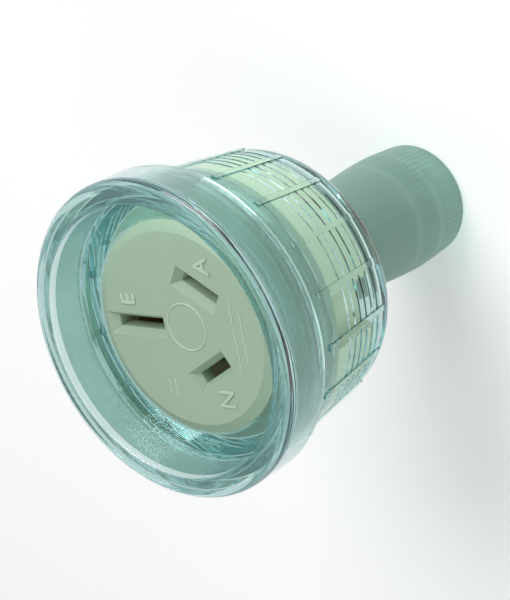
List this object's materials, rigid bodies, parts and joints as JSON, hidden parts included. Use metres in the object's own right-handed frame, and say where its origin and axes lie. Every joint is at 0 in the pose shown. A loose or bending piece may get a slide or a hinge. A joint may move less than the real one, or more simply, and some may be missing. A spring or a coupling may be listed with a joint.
{
  "type": "three-slot electrical line socket",
  "caption": "Clear rewirable line socket with a round shroud, a raised face with funnel slots, a ribbed grip and a frosted cord-grip nut.",
  "frame": {"origin": "centre of the nut's end face, on which the socket stands", "axes": "+Z along the socket's axis from the cord end up to the face; -Y towards the earth slot; -X towards the active slot"},
  "size_m": [0.0528, 0.0528, 0.0715],
  "materials": {
    "clear_shroud": "clear, blue-green tint, polished",
    "clear_body": "clear, blue-green tint, polished",
    "frosted_nut": "frosted, translucent",
    "frosted_collet": "natural, translucent",
    "cream_face": "satin moulding",
    "cream_carrier": "satin moulding",
    "grommet_rubber": "soft, matt",
    "contact_brass": "rolled strip",
    "terminal_brass": "drawn bar, machined",
    "plated_screw": "zinc plated"
  },
  "bodies": {
    "root": {"front_shroud": "clear_shroud", "rear_housing": "clear_body", "socket_face": "cream_face", "contact_carrier": "cream_carrier", "cord_grip_nut": "frosted_nut", "cord_grip_collet": "frosted_collet", "cord_grommet": "grommet_rubber", "active_contact": "contact_brass", "active_terminal": "terminal_brass", "active_terminal_screw": "plated_screw", "active_rivet": "contact_brass", "neutral_contact": "contact_brass", "neutral_terminal": "terminal_brass", "neutral_terminal_screw": "plated_screw", "neutral_rivet": "contact_brass", "earth_contact": "contact_brass", "earth_terminal": "terminal_brass", "earth_terminal_screw": "plated_screw", "earth_rivet": "contact_brass", "insert_screw_upper": "plated_screw", "insert_screw_lower": "plated_screw"}
  },
  "joints": []
}
